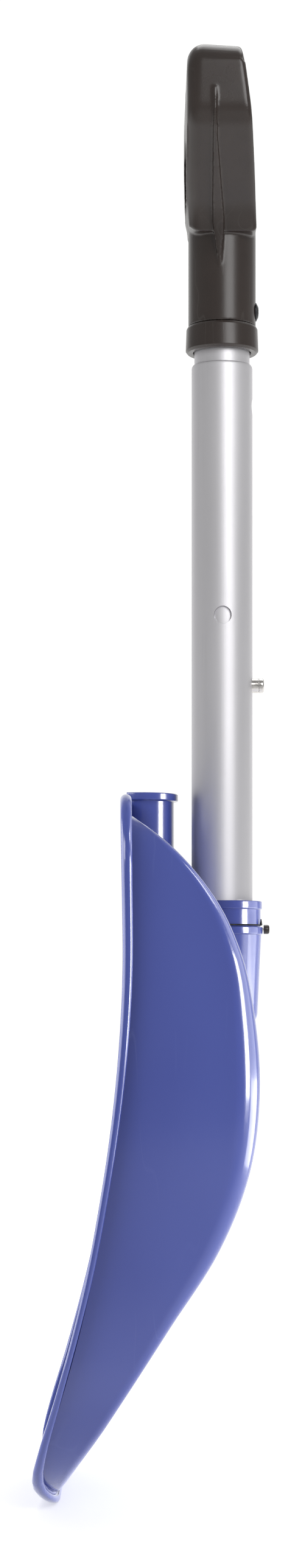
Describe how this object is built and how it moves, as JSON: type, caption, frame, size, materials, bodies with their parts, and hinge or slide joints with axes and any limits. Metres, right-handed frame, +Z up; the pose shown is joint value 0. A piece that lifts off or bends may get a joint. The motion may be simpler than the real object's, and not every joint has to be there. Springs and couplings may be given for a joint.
{
  "type": "telescopic scoop shovel",
  "caption": "Compact two-part scoop shovel: deep moulded scoop with a shaft socket, telescoping alloy shaft with a snap button, lock pin and a black D-grip.",
  "frame": {"origin": "on the ground plane under the middle of the overall depth and width, level with the scoop's tip", "axes": "+Z up along the shaft, the longest extent; the scoop's hollow faces -X and X is the shortest extent; Y runs across the scoop and the grip bar"},
  "size_m": [0.1221, 0.2232, 0.7436],
  "materials": {
    "blade_blue": "smooth glossy moulded blue plastic",
    "grip_black": "satin black moulded plastic",
    "tube_alloy": "satin drawn tube",
    "button_steel": "bright turned steel",
    "spring_steel": "plain spring strip",
    "dark_steel": "black oxide",
    "plug_plastic": "plain dark moulded plastic"
  },
  "bodies": {
    "blade": {"blade": "blade_blue", "lock_pin_ring": "dark_steel"},
    "lock_pin": {"lock_pin": "button_steel", "lock_pin_head": "grip_black"},
    "shaft": {"main_tube": "tube_alloy", "main_tube_plug": "plug_plastic"},
    "handle": {"d_grip": "grip_black", "grip_collar": "grip_black", "grip_screw": "dark_steel", "upper_tube": "tube_alloy", "upper_tube_plug": "plug_plastic", "snap_spring": "spring_steel"},
    "snap_button": {"snap_button": "button_steel"}
  },
  "joints": [
    {"name": "lock_pin_pull", "type": "slide", "parent": "blade", "child": "lock_pin", "axis": [1, 0, 0], "range_m": [0, 0.004], "stiffness_N_per_m": 300, "deforming": ["lock_pin_ring"]},
    {"name": "shaft_release", "type": "slide", "parent": "blade", "child": "shaft", "axis": [0, 0, 1], "range_m": [0, 0.09], "deforming": ["lock_pin"]},
    {"name": "telescope", "type": "slide", "parent": "shaft", "child": "handle", "axis": [0, 0, 1], "range_m": [0, 0.1463], "deforming": ["snap_button"]},
    {"name": "snap_button_press", "type": "slide", "parent": "handle", "child": "snap_button", "axis": [-1, 0, 0], "range_m": [0, 0.0073], "stiffness_N_per_m": 800, "deforming": ["snap_spring"]}
  ]
}
